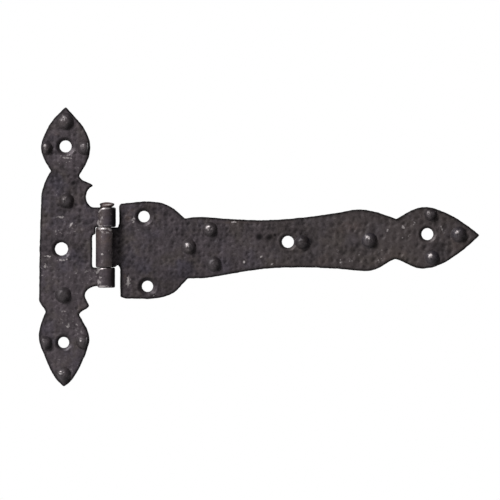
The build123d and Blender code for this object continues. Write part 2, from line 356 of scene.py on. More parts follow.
def leafFace(flat, distance, rolled, leaf, holes):
    # the front's height over a flat sheet, how near each point is to a ridge between blows, and how much darker
    # it is than clean iron: grime in the hollows, dirt and painted shade in the countersinks, painted shade round
    # the studs
    seed, depth = leaf["seed"], leaf["blowDepth"]
    blows = hammeredFace(flat, leaf)
    ridge = np.clip(1 + blows / depth, 0, 1)
    front = blows * (1 - rolled)
    far = smoothStep(flat[:, 0], soilAndShade["farFrom"], soilAndShade["farTo"])
    bumps = smoothStep(valueNoise(flat, soilAndShade["bumpCell"], seed + 18), 0.1, 0.8)
    bumps *= leaf["lift"] + soilAndShade["farLift"] * far
    deep = 1 - np.exp(np.minimum(blows, 0) / (soilAndShade["deepShare"] * depth))
    grime = (leaf["hollowGrime"] + leaf["farGrime"] * far) * (1 - ridge) * (1 - far)
    grime += leaf["farGrime"] * far * deep
    grime += leaf["fleck"] * valueNoise(flat, soilAndShade["fleckCell"], seed + 19) - bumps * (1 - deep)
    for axis, start, end, amount in leaf["tones"]:  # slow changes along the leaf
        grime += amount * smoothStep((flat[:, axis] / mm - start) / (end - start), 0, 1)
    grime = grime * (1 - rolled)
    for name, centre, size in holes:  # a cone down to the hole, in a place beaten nearly flat
        sinkRadius = leaf["sinks"][name]
        away = np.linalg.norm(flat - centre, axis=1)
        flattened = 1 - smoothStep(away, sinkRadius - 0.3 * mm, sinkRadius + 1.2 * mm)
        front = front * (1 - 0.8 * flattened) - np.maximum(sinkRadius - away, 0) * sheet["sinkSlope"]
        # painted shade: a dark ring of dirt and painted shade in each countersink, darker on its upper-left wall,
        # which faces away from the key light
        upperLeft = (centre - flat) @ (0.7, -0.7) / sinkRadius
        shaded = soilAndShade["sinkDirtAndShade"] + soilAndShade["sinkShadeLean"] * upperLeft
        ring = 1 - smoothStep(away, sinkRadius - 0.9 * mm, sinkRadius + 0.3 * mm)
        grime = np.maximum(grime, shaded * ring)
    for x, z, size, dentDepth, long, turnBy in leaf["dents"]:  # each is a flat-bottomed bell
        dent = np.exp(-(spotDistance(flat, x, z, 0.5 * size * long, 0.5 * size, turnBy) ** 3.2))
        front = front * (1 - dent) - dentDepth * dent
        grime = np.maximum(grime, soilAndShade["dent"] * dent)
    for rivet in leaf["rivets"]:  # beaten flat under the stud, a low collar, painted shade round its foot, and a painted shadow on its lower right
        lowCorner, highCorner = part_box(rivet)
        centre = np.array(((lowCorner.x + highCorner.x) / 2, (lowCorner.z + highCorner.z) / 2))
        size = (highCorner.x - lowCorner.x) / 2
        away = np.linalg.norm(flat - centre, axis=1)
        front = front * (1 - 0.7 * np.exp(-((away / (1.25 * size)) ** 6)))
        collar = sheet["collar"] * smoothStep(distance, 0.3 * mm, 1.2 * mm)
        front += collar * np.exp(-3 * (np.maximum(away - 0.8 * size, 0) / (0.55 * size)) ** 2)
        grime = np.maximum(grime, soilAndShade["foot"] * (1 - smoothStep(away, size, 1.35 * size)))
        below = np.linalg.norm(flat - centre - np.array((0.8, -0.8)) * size, axis=1) / (0.75 * size)
        grime = np.maximum(grime, soilAndShade["shade"] * np.exp(-(below**2)))
    return front, ridge, grime


def rolledSheet(node, leaf, material):
    # a flat shape of X and Z with a height over its back; past the pin the sheet is wound round it:
    # x = pin + (radius - height) sin(angle), y = (radius - height) cos(angle) - radius
    radius, side, seed = -pinY, leaf["side"], leaf["seed"]
    loop, inward = leafOutline(node, leaf, pinX + side * radius * math.radians(leaf["wrap"]))
    holes = []
    for mount in screwHoles:
        if mount["name"].startswith(leaf["mounts"]):
            centre = np.array((mount["pos_m"][0], mount["pos_m"][2]))
            holes.append((mount["name"], centre, mount["dims"]["r_mm"] * mm))
    flat, triangles, edges, count = flatMesh(loop, inward, holes)
    border = flat[:count]
    distance, _ = loopDistance(flat, loop)
    distance[:len(loop)] = 0
    rolled = smoothStep(side * (flat[:, 0] - pinX), sheet["rollFrom"], sheet["rollTo"])
    front, ridge, grime = leafFace(flat, distance, rolled, leaf, holes)
    frontRadius = sheet["frontRound"] * (1 - 0.5 * rolled)
    backRadius = sheet["backRound"] + (sheet["rollRound"] - sheet["backRound"]) * rolled
    frontHeight = sheet["thickness"] + front - roundedOff(distance, frontRadius)
    frontHeight = np.where(rolled > 0.98, np.minimum(frontHeight, sheet["thickness"]), frontHeight)
    mill = sheet["mill"] * valueNoise(flat, 1.7 * mm, seed + 5)
    mill += sheet["millFine"] * valueNoise(flat, 0.8 * mm, seed + 6)
    backHeight = roundedOff(distance, backRadius) + np.abs(mill) * (0.6 + 0.9 * rolled)
    sway = np.zeros(len(flat))
    for low, high, shift in leaf["sways"]:
        sway += shift * rolled * (flat[:, 1] > low) * (flat[:, 1] < high)

    def wound(points, height):
        angle = np.maximum(side * (points[:, 0] - pinX), 0) / radius
        x = np.where(angle > 0, pinX + side * (radius - height) * np.sin(angle), points[:, 0])
        y = np.where(angle > 0, (radius - height) * np.cos(angle) - radius, -height)
        return np.column_stack((x + sway[:len(points)], y, points[:, 1]))

    def onAll(values):
        # the same values on the front, the back and the wall between them
        return np.concatenate((values, values, values[:count]))

    outward = np.vstack([-inward] + [np.zeros((count - len(loop), 2))])
    bulge = sheet["bulge"] * (1 + valueNoise(border, 0.9 * mm, seed + 7)) * (1 - nearPin(border, side))
    wallHeight = 0.5 * (frontHeight[:count] + backHeight[:count])
    wall = wound(border + outward * bulge[:, None], wallHeight)
    verts = np.vstack((wound(flat, frontHeight), wound(flat, backHeight), wall))
    i, j = edges.T
    toBack, toWall = len(flat), 2 * len(flat)
    faces = triangles.tolist() + (triangles[:, ::-1] + toBack).tolist()
    faces += np.column_stack((i, i + toWall, j + toWall, j)).tolist()
    faces += np.column_stack((i + toWall, i + toBack, j + toBack, j + toWall)).tolist()

    rim = np.exp(-((distance / sheet["edgeWidth"]) ** 2))
    frontWear = leaf["ridgeWear"] * np.clip(ridge * (1 - rolled), 0, 1) * np.clip(1 - 1.6 * grime, 0, 1)
    backWear = 0.15 + rolled * (0.35 + 0.8 * rim)
    wear = np.concatenate((frontWear, backWear, backWear[:count]))
    facing = (verts[:, 1] < pinY) | ((onAll(rolled) < 0.5) & (verts[:, 1] < -sheet["rubAndSheenFrom"]))
    for x, z, long, wide, turnBy, amount in leaf["rubsAndSheen"]:  # a worn patch, or a painted highlight on a knuckle's rim, is a flat-topped bell
        patch = np.exp(-(spotDistance(verts[:, (0, 2)], x, z, long, wide, turnBy) ** 3))
        wear = np.maximum(wear, amount * facing * patch)
    stain = np.zeros(len(flat))
    for x, z, long, wide, turnBy, amount in leaf["stains"]:  # and so is a rust stain
        stain = np.maximum(stain, amount * np.exp(-(spotDistance(flat, x, z, long, wide, turnBy) ** 3)))
    rust = leaf["rust"] * rolled * smoothStep(flat[:, 1], -3 * mm, 6 * mm) + leaf["rollRust"] * rolled
    rust = np.maximum(rust, stain * (1 - rolled)) * (0.75 + 0.5 * valueNoise(flat, 1.3 * mm, seed + 20))
    # painted shade on the knuckles' rims where they meet each other, and dirt and painted shade along the flat
    # edges
    rollRim = np.exp(-((distance / (0.3 * mm)) ** 2))
    edgeDirtAndShade = sheet["edgeDirtAndShade"] * rim * (1 - rolled) + sheet["rollRimShade"] * rolled * rollRim
    frontGrimeAndShade = np.maximum(grime, edgeDirtAndShade)
    # painted shade on each knuckle's right side, which faces away from the key light
    shadeSide = rolled * leaf["rollShade"] * smoothStep(verts[toBack:toWall, 0] - pinX, 0.5 * mm, 4.6 * mm)
    backDarkening = np.maximum(np.maximum(edgeDirtAndShade, sheet["backDarkening"] * (1 - rolled)), shadeSide)
    attributes = {
        "wear": wear,
        "rust": np.clip(onAll(rust), 0, 1),
        "brown": leaf["brown"] * smoothStep(onAll(flat[:, 0]), soilAndShade["brownFrom"], soilAndShade["brownTo"]),
        "smooth": onAll(rolled),
        "grime": np.concatenate((frontGrimeAndShade, backDarkening, np.full(count, sheet["wallDarkening"]))),
    }
    piece = meshObject(leaf["name"], verts, faces, attributes, material)
    print(leaf["name"], "verts", len(verts), "faces", len(piece.data.polygons))
    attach(piece, leaf["body"])
    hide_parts(node)
    return loop


def turnedPiece(name, profile, centre, axis, material, dress, around, marks):
    # a profile of radius and height turned round an axis: each ring is the circle of its radius at its
    # height; dress moves the rings' points, and marks gives attributes from where they end up
    angle = 2 * math.pi * np.arange(around) / around
    radius, height = np.array(profile).T
    spread = np.ones(around)
    ringRadius, ringHeight = dress(radius[1:-1, None] * spread, height[1:-1, None] * spread, angle)
    side, up = ringRadius * np.cos(angle), ringRadius * np.sin(angle)
    points = np.column_stack((side.ravel(), up.ravel(), ringHeight.ravel()))
    endLow = (0, 0, height[0])
    endHigh = (0, 0, ringHeight[-1].mean() + height[-1] - height[-2])
    points = np.vstack((points, endLow, endHigh))
    if axis == "Z":
        verts = points + np.array(centre)
    else:
        verts = np.column_stack((points[:, 0], -points[:, 2], points[:, 1])) + np.array(centre)
    count = len(profile) - 2
    ring, step = np.meshgrid(np.arange(count - 1), np.arange(around), indexing="ij")
    here, beside = ring * around + step, ring * around + (step + 1) % around
    corners = (here.ravel(), beside.ravel(), (beside + around).ravel(), (here + around).ravel())
    faces = np.column_stack(corners).tolist()
    turn = np.arange(around)
    low, high, last = len(points) - 2, len(points) - 1, (count - 1) * around
    faces += np.column_stack((np.full(around, low), (turn + 1) % around, turn)).tolist()
    faces += np.column_stack((np.full(around, high), last + turn, last + (turn + 1) % around)).tolist()
    return meshObject(name, verts, faces, marks(points), material, sharp=50)


# Finishes
def nodeGroup(name, inputs, outputs):
    group = bpy.data.node_groups.new(name, "ShaderNodeTree")
    for label, kind, value in inputs:
        socket = group.interface.new_socket(name=label, in_out="INPUT", socket_type=kind)
        if value is not None:
            socket.default_value = value
    for label, kind in outputs:
        group.interface.new_socket(name=label, in_out="OUTPUT", socket_type=kind)
    return group, group.nodes.new("NodeGroupInput"), group.nodes.new("NodeGroupOutput")


def noiseOf(group, scale, detail=3.0, roughness=0.6, offset=(0, 0, 0), stretch=(1, 1, 1)):
    tree = group.nodes
    place, shift = tree.new("ShaderNodeTexCoord"), tree.new("ShaderNodeMapping")
    noise = tree.new("ShaderNodeTexNoise")
    shift.inputs["Location"].default_value = offset
    shift.inputs["Scale"].default_value = stretch
    noise.inputs["Scale"].default_value = scale
    noise.inputs["Detail"].default_value = detail
    noise.inputs["Roughness"].default_value = roughness
    group.links.new(place.outputs["Object"], shift.inputs["Vector"])
    group.links.new(shift.outputs["Vector"], noise.inputs["Vector"])
    return noise.outputs["Fac"]


def ranged(group, value, low, high, toLow=0.0, toHigh=1.0, smooth=True):
    node = group.nodes.new("ShaderNodeMapRange")
    node.interpolation_type = "SMOOTHSTEP" if smooth else "LINEAR"
    node.clamp = True
    for socket, number in zip(("From Min", "From Max", "To Min", "To Max"), (low, high, toLow, toHigh)):
        node.inputs[socket].default_value = number
    group.links.new(value, node.inputs["Value"])
    return node.outputs["Result"]


def maths(group, operation, first, second=None):
    node = group.nodes.new("ShaderNodeMath")
    node.operation = operation
    for socket, value in zip(node.inputs, (first, second)):
        if value is None:
            continue
        if isinstance(value, (int, float)):
            socket.default_value = value
        else:
            group.links.new(value, socket)
    return node.outputs[0]


def mixed(group, share, first, second):
    node = group.nodes.new("ShaderNodeMix")
    node.data_type = "RGBA"
    sockets = [node.inputs[0], node.inputs[6], node.inputs[7]]
    for socket, value in zip(sockets, (share, first, second)):
        if isinstance(value, (int, float, tuple)):
            socket.default_value = value
        else:
            group.links.new(value, socket)
    return node.outputs[2]


def attributeOf(group, name):
    node = group.nodes.new("ShaderNodeAttribute")
    node.attribute_name = name
    return node.outputs["Fac"]


def patinaGroup():
    # three colours mixed by slow clouds, then darkened and lightened by a finer grain
    group, given, made = nodeGroup("ironPatina",
        [("Base", "NodeSocketColor", None), ("Warm", "NodeSocketColor", None),
         ("Cool", "NodeSocketColor", None), ("Grain", "NodeSocketFloat", 0.3)],
        [("Color", "NodeSocketColor"), ("Cloud", "NodeSocketFloat")])
    warm = ranged(group, noiseOf(group, 95, 3, 0.55), 0.48, 0.68)
    cool = ranged(group, noiseOf(group, 70, 3, 0.55, (0.31, 0.17, 0.53)), 0.50, 0.70)
    colour = mixed(group, warm, given.outputs["Base"], given.outputs["Warm"])
    colour = mixed(group, cool, colour, given.outputs["Cool"])
    grain = ranged(group, noiseOf(group, 900, 4, 0.65, (0.7, 0.2, 0.1)), 0.3, 0.7, -1.0, 1.0, False)
    cloud = ranged(group, noiseOf(group, 260, 3, 0.6, (0.2, 0.9, 0.4)), 0.3, 0.7, -1.0, 1.0, False)
    level = maths(group, "ADD", maths(group, "MULTIPLY", grain, given.outputs["Grain"]),
                  maths(group, "MULTIPLY", cloud, maths(group, "MULTIPLY", given.outputs["Grain"], 0.8)))
    level = maths(group, "MAXIMUM", maths(group, "ADD", level, 1.0), 0.2)
    scaled = group.nodes.new("ShaderNodeVectorMath")
    scaled.operation = "SCALE"
    group.links.new(colour, scaled.inputs[0])
    group.links.new(level, scaled.inputs["Scale"])
    group.links.new(scaled.outputs[0], made.inputs["Color"])
    group.links.new(cloud, made.inputs["Cloud"])
    return group


def rubbedAndSheenGroup():
    # where bare metal shows, and where a painted highlight is: high places and rims, broken up by a fine noise so
    # that it comes in specks
    group, given, made = nodeGroup("rubbedMetalAndSheen",
        [("High", "NodeSocketFloat", 0.0), ("Amount", "NodeSocketFloat", 0.5),
         ("Speck", "NodeSocketFloat", 0.5)],
        [("Mask", "NodeSocketFloat")])
    fine = ranged(group, noiseOf(group, 950, 3, 0.6, (0.4, 0.6, 0.9)), 0.35, 0.75, 0.0, 1.0, False)
    wide = ranged(group, noiseOf(group, 75, 2, 0.5, (0.1, 0.5, 0.2)), 0.42, 0.66)
    wide = maths(group, "ADD", maths(group, "MULTIPLY", wide, 0.8), 0.35)
    reach = maths(group, "MULTIPLY", given.outputs["High"], wide)
    value = maths(group, "ADD", maths(group, "MULTIPLY", reach, given.outputs["Amount"]),
                  maths(group, "MULTIPLY", fine, given.outputs["Speck"]))
    group.links.new(ranged(group, value, 0.62, 0.95), made.inputs["Mask"])
    return group


def gritGroup():
    # a fine scale and shallow pits, as a height in metres for a bump
    group, given, made = nodeGroup("forgeGrit",
        [("Scale Depth", "NodeSocketFloat", 1.0)], [("Height", "NodeSocketFloat")])
    fine = noiseOf(group, 1500, 4, 0.65)
    mid = noiseOf(group, 520, 3, 0.6, (0.3, 0.3, 0.8))
    pits = ranged(group, noiseOf(group, 800, 2, 0.5, (0.8, 0.1, 0.6)), 0.60, 0.72, 0.0, -0.8)
    height = maths(group, "ADD", maths(group, "MULTIPLY", fine, 0.7), maths(group, "MULTIPLY", mid, 1.2))
    height = maths(group, "ADD", height, pits)
    group.links.new(maths(group, "MULTIPLY", height, given.outputs["Scale Depth"]), made.inputs["Height"])
    return group


patina, rubbedAndSheen, grit = patinaGroup(), rubbedAndSheenGroup(), gritGroup()


def placed(material, group, **values):
    node = material.node_tree.nodes.new("ShaderNodeGroup")
    node.node_tree = group
    for key, value in values.items():
        node.inputs[key].default_value = value
    return node


def ironMaterial(name, look):
    material = bpy.data.materials.new(name)
    material.use_nodes = True
    tree = material.node_tree
    shader = tree.nodes["Principled BSDF"]
    shader.inputs["Specular IOR Level"].default_value = look["specular"]
    clouds = placed(material, patina, Base=look["base"], Warm=look["warm"], Cool=look["cool"],
                    Grain=look["grain"])
    colour = clouds.outputs["Color"]
    if look["rust"]:
        colour = mixed(tree, attributeOf(tree, "brown"), colour, look["brown"])
        scratches = noiseOf(tree, 420, 4, 0.7, (0.1, 0.2, 0.3), (0.25, 0.25, 2.2))
        scratches = ranged(tree, scratches, 0.30, 0.62, 0.25, 1.0)
        share = maths(tree, "MULTIPLY", attributeOf(tree, "rust"), scratches)
        colour = mixed(tree, share, colour, look["rust"])
    grime = attributeOf(tree, "grime")
    undarkened = maths(tree, "SUBTRACT", 1.0, grime)
    dimmed = tree.nodes.new("ShaderNodeVectorMath")
    dimmed.operation = "SCALE"
    tree.links.new(colour, dimmed.inputs[0])
    tree.links.new(undarkened, dimmed.inputs["Scale"])
    colour = dimmed.outputs[0]
    high = attributeOf(tree, "wear")
    wornAndSheen = placed(material, rubbedAndSheen, Amount=look["rubAndSheenAmount"], Speck=look["speck"])
    tree.links.new(high, wornAndSheen.inputs["High"])
    share = maths(tree, "MULTIPLY", wornAndSheen.outputs["Mask"], look["rubAndSheenShow"])
    tree.links.new(mixed(tree, share, colour, look["bareAndSheen"]), shader.inputs["Base Color"])
    metal = maths(tree, "ADD", maths(tree, "MULTIPLY", share, look["bareAndSheenMetal"]), look["metal"])
    sootAndShade = maths(tree, "MAXIMUM", grime, 0.0)  # grime and painted shade have no gloss of their own
    sootAndShade = maths(tree, "MULTIPLY", sootAndShade, look["sootAndShadeMetal"])
    tree.links.new(maths(tree, "ADD", metal, sootAndShade), shader.inputs["Metallic"])
    rough = maths(tree, "MULTIPLY", clouds.outputs["Cloud"], look["cloudRough"])
    rough = maths(tree, "ADD", rough, look["rough"])
    rough = maths(tree, "SUBTRACT", rough, maths(tree, "MULTIPLY", share, look["bareAndSheenGloss"]))
    smooth = attributeOf(tree, "smooth")
    rough = maths(tree, "SUBTRACT", rough, maths(tree, "MULTIPLY", smooth, look["smoothGloss"]))
    rough = maths(tree, "ADD", rough, maths(tree, "MULTIPLY", grime, look["sootAndShadeRough"]))
    tree.links.new(rough, shader.inputs["Roughness"])
    fine = placed(material, grit, **{"Scale Depth": 1.0})
    bump = tree.nodes.new("ShaderNodeBump")
    bump.inputs["Strength"].default_value = look["gritStrength"]
    bump.inputs["Distance"].default_value = 0.1 * mm
    tree.links.new(fine.outputs["Height"], bump.inputs["Height"])
    tree.links.new(bump.outputs["Normal"], shader.inputs["Normal"])
    return material


leafLook = {
    "base": (0.0390, 0.0300, 0.0350, 1), "warm": (0.0430, 0.0335, 0.0335, 1),
    "cool": (0.0360, 0.0290, 0.0390, 1), "brown": (0.0445, 0.0350, 0.0310, 1),
    "rust": (0.072, 0.050, 0.044, 1), "bareAndSheen": (0.34, 0.31, 0.31, 1), "grain": 0.30, "gritStrength": 0.4,
    "rubAndSheenAmount": 0.38, "speck": 0.64, "rubAndSheenShow": 0.8,  # how much metal is bare or carries a painted highlight, how broken up, and how plain
    "metal": 0.35, "bareAndSheenMetal": 0.3, "rough": 0.50, "bareAndSheenGloss": 0.05, "specular": 0.45,
    "sootAndShadeMetal": 0.6, "sootAndShadeRough": 0.25, "cloudRough": 0.07, "smoothGloss": 0.05,
}
rivetLook = dict(leafLook, rust=None, base=(0.037, 0.030, 0.033, 1), cool=(0.033, 0.028, 0.034, 1),
                 rubAndSheenAmount=0.5)
pinLook = dict(leafLook, base=(0.070, 0.048, 0.047, 1), warm=(0.080, 0.052, 0.047, 1), rust=None,
               bareAndSheen=(0.60, 0.55, 0.53, 1), rubAndSheenAmount=0.7, rough=0.42, metal=0.2, bareAndSheenMetal=0.1)

hammeredIron = ironMaterial("hammeredIron", leafLook)
rivetIron = ironMaterial("rivetIron", rivetLook)
pinSteel = ironMaterial("pinSteel", pinLook)
print("finishes made")

# The two leaves
allNodes = list(frame["nodes"])
jambLeaf = {
    "name": "hammeredJambLeaf", "body": "jamb", "side": 1, "wrap": 236, "mounts": "jamb_screw",
    "rivets": [n for n in allNodes if n.startswith("rivet_jamb")],
    "seed": 20, "blowPitch": 2.9 * mm, "blowDepth": 0.24 * mm, "blowLean": 0.6, "unevenness": 0.055 * mm,
    "slantFrom": None, "calmTo": None,
    "hollowGrime": 0.45, "farGrime": 0, "fleck": 0.17, "lift": 0.32, "ridgeWear": 0.72,
    "brown": 0, "rust": 0.15, "rollRust": 0.05, "rollShade": 0.8,
    "tones": [(1, -6, -14, -0.13)],  # along X (0) or Z (1), from, to, amount
    "pushes": [(16.95, 9.2, 1.6, 0.03, 0)],  # X, Z, reach, shift in X and in Z
    "stains": [  # X, Z, half length, half width, turn, amount
        (-2.5, 57.5, 1.5, 1, 0.4, 0.4), (9.5, -31, 1.5, 2.5, 0.3, 0.35), (-6, 8, 1.2, 2.5, 0, 0.3),
    ],
    "freeEnds": [  # low, high, slant across, and the corners' rounds
        (10.9 * mm, 20.75 * mm, 0.7 * mm, 0.9 * mm, 4.2 * mm),
        (-19.35 * mm, -9.3 * mm, -0.4 * mm, 1.2 * mm, 3.0 * mm),
    ],
    "sinks": {"jamb_screw_top": 4.9 * mm, "jamb_screw_middle": 4.9 * mm, "jamb_screw_bottom": 4.3 * mm},
    # worn patches, and painted highlights on the knuckles' upper-left rims
    "rubsAndSheen": [
        (21.6, 20.15, 3.2, 0.42, 0.08, 6), (19.1, 18.9, 1.9, 0.5, 0.9, 7), (18.4, 16.4, 0.45, 1.5, 0, 4),
        (18.4, 13, 0.6, 1.6, 0.1, 7), (19.9, 15.5, 1.5, 3.8, 0, 1.7), (19.6, 11.4, 1.6, 0.4, -0.25, 3),
        (20.6, -9.85, 2.4, 0.42, 0.1, 6), (18.3, -11.2, 0.5, 1.3, -0.5, 7), (18.9, -16.6, 1.4, 1.7, 0.6, 1.7),
        (20.5, -18.6, 2, 0.4, 0, 2.5), (19.9, -14.2, 1, 2.2, 0, 1.5),
        (2, -5.4, 4, 0.8, 0.1, 2), (-7, -3.6, 2.4, 0.6, -0.1, 1.9), (10.6, -3.6, 1.5, 0.5, 0, 2),
        (-1.9, -12, 0.8, 4, 0.05, 1.9), (-3.5, -16.5, 2.2, 1.2, -0.3, 1.8), (-8, -8.5, 0.9, 1.6, 0, 1.7),
        (5, 12.2, 2, 0.45, 0.85, 2.2),
        (-1.2, 16, 4.5, 1, 0.05, 1.45), (-0.5, 37.5, 3, 0.7, 0, 1.4), (4.5, 56.5, 2.6, 0.6, -0.1, 2.2),
        (10, 57.6, 0.8, 1.6, 0.3, 2), (-4.3, 59, 0.9, 1.8, -0.3, 1.5), (3, 45.4, 2.6, 0.5, 0, 1.8),
        (8.4, -22.2, 0.8, 0.7, 0.3, 2.2), (3.2, -38.6, 0.9, 0.8, 0.3, 1.7), (7.5, -38, 1, 0.7, 0.3, 1.7),
        (-6.2, -22.8, 1.2, 0.6, 0.3, 1.8), (-6.7, -57.2, 1, 0.5, 0.5, 1.8), (1, -31, 1.6, 1, 0.6, 1.4),
    ],
    "sways": [  # knuckles out of line: low, high, shift
        (9 * mm, 22 * mm, 0.1 * mm), (-21 * mm, -9 * mm, -0.3 * mm),
    ],
    "dents": [(6, 33, 2.6, 0.25 * mm, 1.3, 0.5)],  # X, Z, size, depth, length over width, turn
}
strapLeaf = {
    "name": "hammeredStrapLeaf", "body": "strap", "side": -1, "wrap": 229, "mounts": "strap_screw",
    "rivets": [n for n in allNodes if n.startswith("rivet_strap")],
    "seed": 50, "blowPitch": 2.7 * mm, "blowDepth": 0.28 * mm, "blowLean": 0.8, "unevenness": 0.045 * mm,
    "slantFrom": 90 * mm, "calmTo": 50 * mm,
    "hollowGrime": 0.42, "farGrime": 0.85, "fleck": 0.15, "lift": 0.16, "ridgeWear": 0.45,
    "brown": 0.5, "rust": 0.55, "rollRust": 0.12, "rollShade": 0.25,
    "tones": [(0, 95, 60, 0.10), (0, 100, 125, -0.05)],
    "pushes": [(29.7, 11.2, 1.1, -0.9, 0), (28.1, -9.2, 0.95, 0, 1.1)],
    "stains": [
        (33.2, 16.8, 1.6, 3.2, 0, 0.75), (35.5, 19.5, 1.2, 1, 0, 0.5), (31.8, -13.5, 0.6, 1.4, 0, 0.7),
        (31.6, -17.5, 0.5, 1.2, 0, 0.7), (90, 13.2, 12, 0.7, 0, 0.5), (131, -5.5, 5, 2.5, 0.4, 0.4),
        (143, 11, 7, 3, 0.2, 0.5), (166, -4, 7, 4, 0.4, 0.45), (198, 3, 5, 4, 0.3, 0.4),
    ],
    "freeEnds": [(-9.2 * mm, 10.8 * mm, 0.3 * mm, 1.0 * mm, 2.2 * mm)],
    "sways": [],
    # worn patches, and painted highlights on the centre knuckle's upper rim
    "rubsAndSheen": [
        (20.6, 10.1, 2, 0.5, 0.05, 8), (24.2, 9.7, 1.1, 0.4, -0.6, 5), (20.2, 4.8, 0.35, 3.6, 0, 2),
        (20.4, -2.7, 0.6, 0.5, 0, 4), (20.5, -6.2, 0.3, 1.6, 0, 2.2), (22, 8.2, 3, 1, 0, 1.3),
        (46.4, -23, 1.3, 0.45, 0.9, 4.5), (91.2, -6.5, 0.6, 0.5, 0, 4), (82.5, 5.2, 0.5, 0.4, 0, 3.6),
        (99.8, -3.9, 0.8, 0.4, 0.6, 2.6), (105.2, -7.6, 0.8, 0.4, 0.6, 2.4), (86.5, 13.4, 2, 0.5, 0, 2.6),
        (137.6, -1.5, 2.5, 1.2, 0.9, 3.4), (139.4, -6.3, 1.3, 2, 0.7, 3.6), (144.6, -6, 1, 2, 0.9, 3.6),
        (148.6, -2.9, 0.9, 0.5, 0.6, 3.6), (153.6, 4, 1.2, 2, 0.5, 2.4), (163, 9.5, 1.2, 0.7, 0.8, 1.8),
        (170.8, 10.8, 0.9, 1.2, 0.6, 1.9), (190.2, 9.8, 0.7, 2.2, 0.4, 2.4), (184.5, 7.8, 1.6, 0.9, 0.6, 1.8),
        (157.8, -0.9, 0.7, 0.8, 0, 2.6), (176, 13.5, 1, 2.2, 0.4, 1.7), (174, 6.5, 1.2, 1, 0.5, 1.6),
        (151.6, 6.6, 2.2, 1.6, 0.6, 1.8), (170.5, 5.5, 0.8, 0.6, 0, 2.4), (159, -2, 6, 5, 0.6, 1.2),
        (128, -9, 3, 1, 0.3, 1.7), (36, 15, 1, 2.5, 0, 1.5), (33.5, -15, 1.5, 5, 0, 1.5),
    ],
    "sinks": {"strap_screw_root_upper": 4.65 * mm, "strap_screw_root_lower": 5.0 * mm,
              "strap_screw_middle": 4.5 * mm, "strap_screw_head": 4.5 * mm},
    "dents": [
        (98.9, 6, 3.9, 0.18 * mm, 1, 0), (104, 5.9, 3.2, 0.18 * mm, 1.4, 0.5),
        (106.6, 7, 1.9, 0.1 * mm, 1, 0.5), (123.5, 3.5, 4.2, 0.40 * mm, 1.4, 0),
    ],
}
jambEdge = rolledSheet("jamb_plate", jambLeaf, hammeredIron)
strapEdge = rolledSheet("strap_leaf", strapLeaf, hammeredIron)
print("leaves made")

# Rivets
rivetShape = {
    "height": 2.3 * mm, "sunk": 0.35 * mm, "bellWidth": 1.42, "bellPower": 2.1, "around": 56,
    "shank": 1.6 * mm, "tail": 2.3 * mm, "tailDepth": 0.6 * mm, "proud": 0.03 * mm,
    "pit": 0.10 * mm, "outOfRound": 0.012,
    "edgeGap": 0.55 * mm,  # between a stud's foot and the leaf's edge
}


def studProfile(radius):
    # tail at the back, shank, then a bell: height = top times the squared cosine of a power of the radius
    s = rivetShape
    foot, top = sheet["thickness"] - s["sunk"], sheet["thickness"] + s["height"]
    tail = [(0, -s["proud"]), (0.6 * s["tail"], -s["proud"]), (0.93 * s["tail"], -0.6 * s["proud"]),
            (s["tail"], 0.12 * mm), (s["shank"], s["tailDepth"]), (s["shank"], foot - 0.15 * mm)]
    share = np.linspace(1, 0, 20)
    bell = np.cos(0.5 * math.pi * share ** s["bellPower"]) ** 2
    dome = list(zip(s["bellWidth"] * radius * share[:-1], foot + (top - foot) * bell[:-1]))
    return tail + [(0.96 * s["bellWidth"] * radius, foot - 0.1 * mm)] + dome + [(0, top)]


def reachInside(centre, edge, foot):
    # the furthest that a stud's foot may go each way before it meets the leaf's edge, as a share of its size
    angle = 2 * math.pi * np.arange(rivetShape["around"]) / rivetShape["around"]
    steps = np.linspace(0.3, 1, 36) * foot
    x, z = centre[0] + np.outer(steps, np.cos(angle)), centre[2] + np.outer(steps, np.sin(angle))
    distance, inside = loopDistance(np.column_stack((x.ravel(), z.ravel())), edge)
    free = (inside & (distance > rivetShape["edgeGap"])).reshape(x.shape)
    count = np.cumprod(free, axis=0).sum(0)
    reach = steps[np.maximum(count - 1, 0)] / foot
    return (np.roll(reach, 1) + reach + np.roll(reach, -1)) / 3


